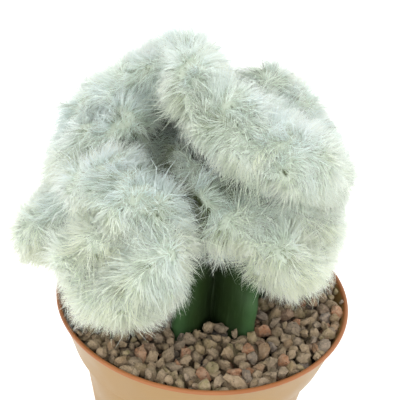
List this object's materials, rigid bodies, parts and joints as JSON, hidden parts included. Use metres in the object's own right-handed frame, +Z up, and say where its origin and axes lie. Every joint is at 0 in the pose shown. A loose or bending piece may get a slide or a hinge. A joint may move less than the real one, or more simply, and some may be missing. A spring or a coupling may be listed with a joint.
{
  "type": "potted crested woolly cactus",
  "caption": "Crested old man cactus with dense white wool, grafted on a ribbed green rootstock, in a round plastic pot topped with lava gravel.",
  "frame": {"origin": "middle of the flat underside of the pot, on the surface it stands on", "axes": "+Z up, out of the pot; -Y is the side the woolly whorl faces; +X to the right seen from there"},
  "size_m": [0.1361, 0.12, 0.2057],
  "materials": {
    "pot_plastic": "satin",
    "soil": "matte",
    "lava_gravel": "matte",
    "green_skin": "satin",
    "wool": "matte"
  },
  "bodies": {
    "root": {"pot": "pot_plastic", "potting_soil": "soil", "gravel_top": "lava_gravel", "rootstock": "green_skin", "woolly_crest": "wool"}
  },
  "joints": []
}
